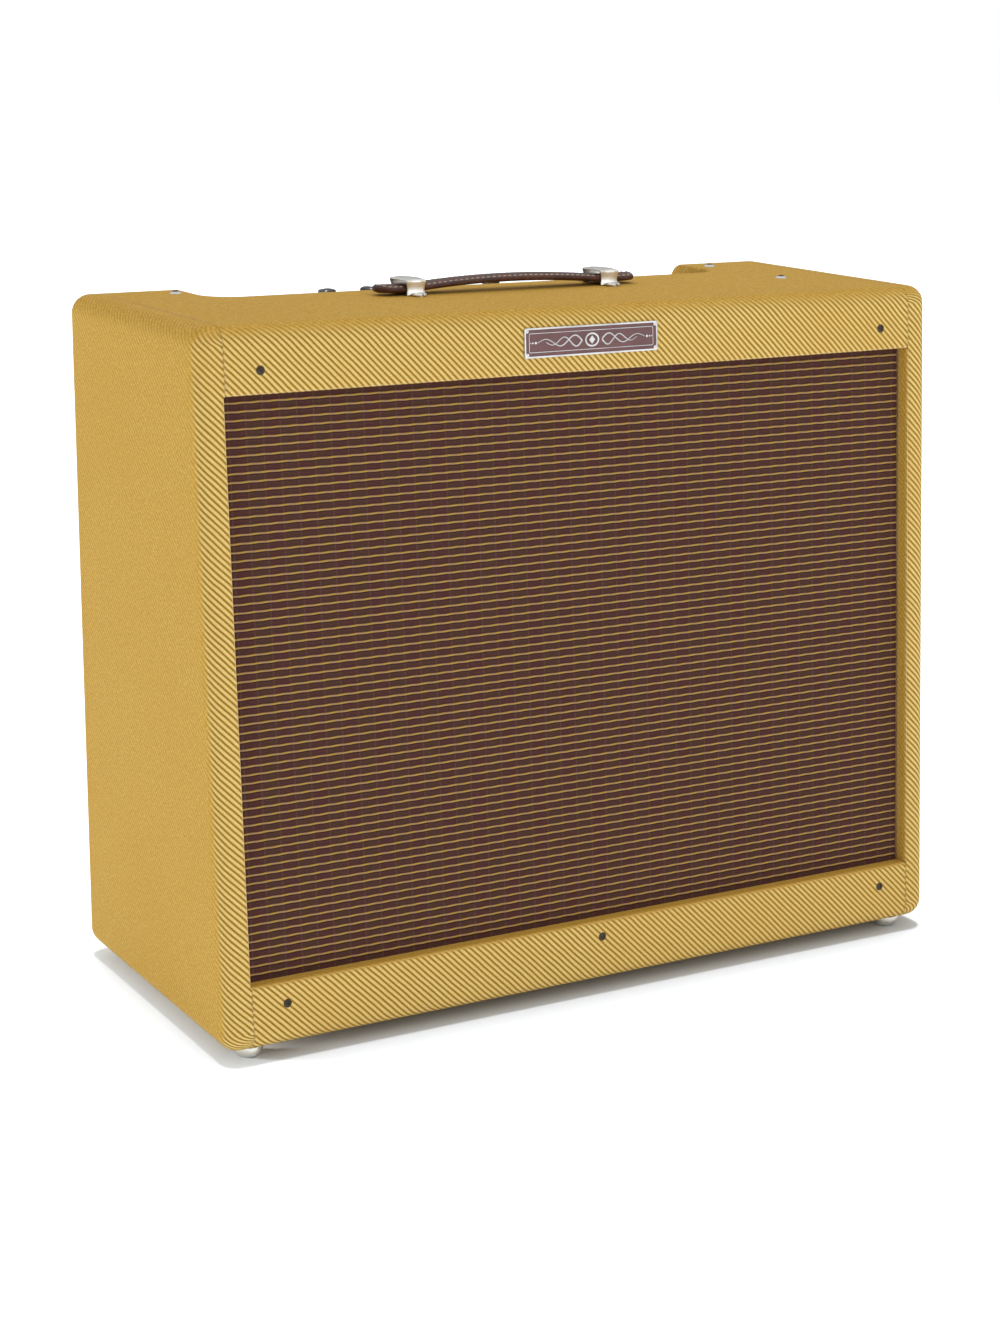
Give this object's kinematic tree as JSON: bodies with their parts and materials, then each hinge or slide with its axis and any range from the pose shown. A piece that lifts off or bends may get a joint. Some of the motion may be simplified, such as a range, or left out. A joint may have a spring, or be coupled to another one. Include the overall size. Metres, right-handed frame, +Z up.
{
  "type": "guitar amplifier",
  "caption": "Open-backed valve guitar combo amplifier with a leaning front, cloth-covered cabinet, leather handle, top-mounted controls and diagonal loudspeakers.",
  "frame": {"origin": "on the floor under the middle of the cabinet's bounding box, at the flat bottoms of the glides", "axes": "+Z up; the grille faces -Y and leans back; +X is to the right seen from the front; the controls are along the rear of the top"},
  "size_m": [0.6218, 0.2718, 0.531],
  "materials": {
    "tweed": "lacquered tweed covering",
    "grille": "woven oxblood grille cloth",
    "pine": "finger-jointed pine",
    "plywood": "birch plywood",
    "covered_panel": "ply back panel wrapped in tweed",
    "dark_screw": "blackened oxide",
    "zinc": "zinc plated",
    "nickel": "nickel plated",
    "chrome_panel": "plated control panel",
    "leather": "stitched oiled leather",
    "nameplate": "enamelled field in a bright border",
    "black_knob": "moulded phenolic",
    "black_moulding": "moulded",
    "red_jewel": "faceted",
    "transformer_black": "gloss enamel",
    "brown_phenolic": "moulded phenolic",
    "valve_glass": "clear",
    "plate_metal": "carbonised",
    "fibre_board": "waxed vulcanised fibre",
    "capacitor": "yellow film",
    "basket_steel": "hammered grey",
    "magnet_cover": "semi gloss",
    "cone_paper": "pressed paper pulp",
    "cap_felt": "pressed felt",
    "spider_cloth": "varnished corrugated cloth",
    "gasket_cork": "cork ring",
    "lead": "insulated lead"
  },
  "bodies": {
    "cabinet": {"side_board_left": "pine", "side_board_right": "pine", "top_board": "pine", "bottom_board": "pine", "upper_front_panel": "plywood", "lower_front_panel": "plywood", "tweed_covering": "tweed", "baffle_board": "plywood", "grille_cloth": "grille", "upper_back_panel": "covered_panel", "lower_back_panel": "covered_panel", "back_cleats": "pine", "baffle_bolts": "dark_screw", "baffle_tnuts": "zinc", "chassis_bolts": "nickel", "back_panel_screws": "nickel", "glides": "nickel", "nameplate": "nameplate", "handle_clamps": "nickel", "clamp_screws": "nickel", "chassis": "chrome_panel", "pot_bodies": "zinc", "panel_nuts": "nickel", "switch_bodies": "zinc", "fuse_holder": "black_moulding", "pilot_holder": "nickel", "pilot_jewel": "red_jewel", "input_jacks": "nickel", "mains_inlet": "black_moulding", "speaker_jack": "nickel", "speaker_lead": "lead", "power_transformer": "transformer_black", "output_transformer": "transformer_black", "valve_sockets": "brown_phenolic", "valve_bases": "brown_phenolic", "valve_envelopes": "valve_glass", "valve_plates": "plate_metal", "circuit_board": "fibre_board", "circuit_parts": "capacitor", "basket_low": "basket_steel", "basket_high": "basket_steel", "magnet_low": "magnet_cover", "magnet_high": "magnet_cover", "surrounds": "cone_paper", "spiders": "spider_cloth", "speaker_gaskets": "gasket_cork", "speaker_bolts": "zinc"},
    "handle": {"handle_strap": "leather"},
    "bright_volume": {"knob_bright_volume": "black_knob"},
    "normal_volume": {"knob_normal_volume": "black_knob"},
    "treble": {"knob_treble": "black_knob"},
    "bass": {"knob_bass": "black_knob"},
    "presence": {"knob_presence": "black_knob"},
    "power_toggle": {"power_lever": "nickel"},
    "standby_toggle": {"standby_lever": "nickel"},
    "fuse_carrier": {"fuse_cap": "black_moulding"},
    "moving_cone_low": {"cone_low": "cone_paper", "dust_cap_low": "cap_felt"},
    "moving_cone_high": {"cone_high": "cone_paper", "dust_cap_high": "cap_felt"}
  },
  "joints": [
    {"name": "bright_volume_turn", "type": "hinge", "parent": "cabinet", "child": "bright_volume", "pos_m": [-0.116, 0.09401, 0.5019], "axis": [0, 0, -1], "range_deg": [-180, 120]},
    {"name": "normal_volume_turn", "type": "hinge", "parent": "cabinet", "child": "normal_volume", "pos_m": [-0.08, 0.09401, 0.5019], "axis": [0, 0, -1], "range_deg": [-165, 135]},
    {"name": "treble_turn", "type": "hinge", "parent": "cabinet", "child": "treble", "pos_m": [-0.044, 0.09401, 0.5019], "axis": [0, 0, -1], "range_deg": [-130, 170]},
    {"name": "bass_turn", "type": "hinge", "parent": "cabinet", "child": "bass", "pos_m": [-0.008, 0.09401, 0.5019], "axis": [0, 0, -1], "range_deg": [-160, 140]},
    {"name": "presence_turn", "type": "hinge", "parent": "cabinet", "child": "presence", "pos_m": [0.028, 0.09401, 0.5019], "axis": [0, 0, -1], "range_deg": [-195, 105]},
    {"name": "power_toggle_throw", "type": "hinge", "parent": "cabinet", "child": "power_toggle", "pos_m": [0.134, 0.09401, 0.5002], "axis": [1, 0, 0], "range_deg": [0, 24]},
    {"name": "standby_toggle_throw", "type": "hinge", "parent": "cabinet", "child": "standby_toggle", "pos_m": [0.102, 0.09401, 0.5002], "axis": [1, 0, 0], "range_deg": [0, 24]},
    {"name": "fuse_carrier_turn", "type": "hinge", "parent": "cabinet", "child": "fuse_carrier", "pos_m": [0.176, 0.09401, 0.502], "axis": [0, 0, 1], "range_deg": [0, 60]},
    {"name": "handle_lift", "type": "slide", "parent": "cabinet", "child": "handle", "axis": [0, 0, 1], "range_m": [0, 0.0025]},
    {"name": "cone_low_travel", "type": "slide", "parent": "cabinet", "child": "moving_cone_low", "axis": [0, 0.9977, -0.0679], "range_m": [-0.0025, 0.0025], "stiffness_N_per_m": 4000, "deforming": ["surrounds", "spiders"]},
    {"name": "cone_high_travel", "type": "slide", "parent": "cabinet", "child": "moving_cone_high", "axis": [0, 0.9977, -0.0679], "range_m": [-0.0025, 0.0025], "stiffness_N_per_m": 4000, "deforming": ["surrounds", "spiders"]}
  ]
}
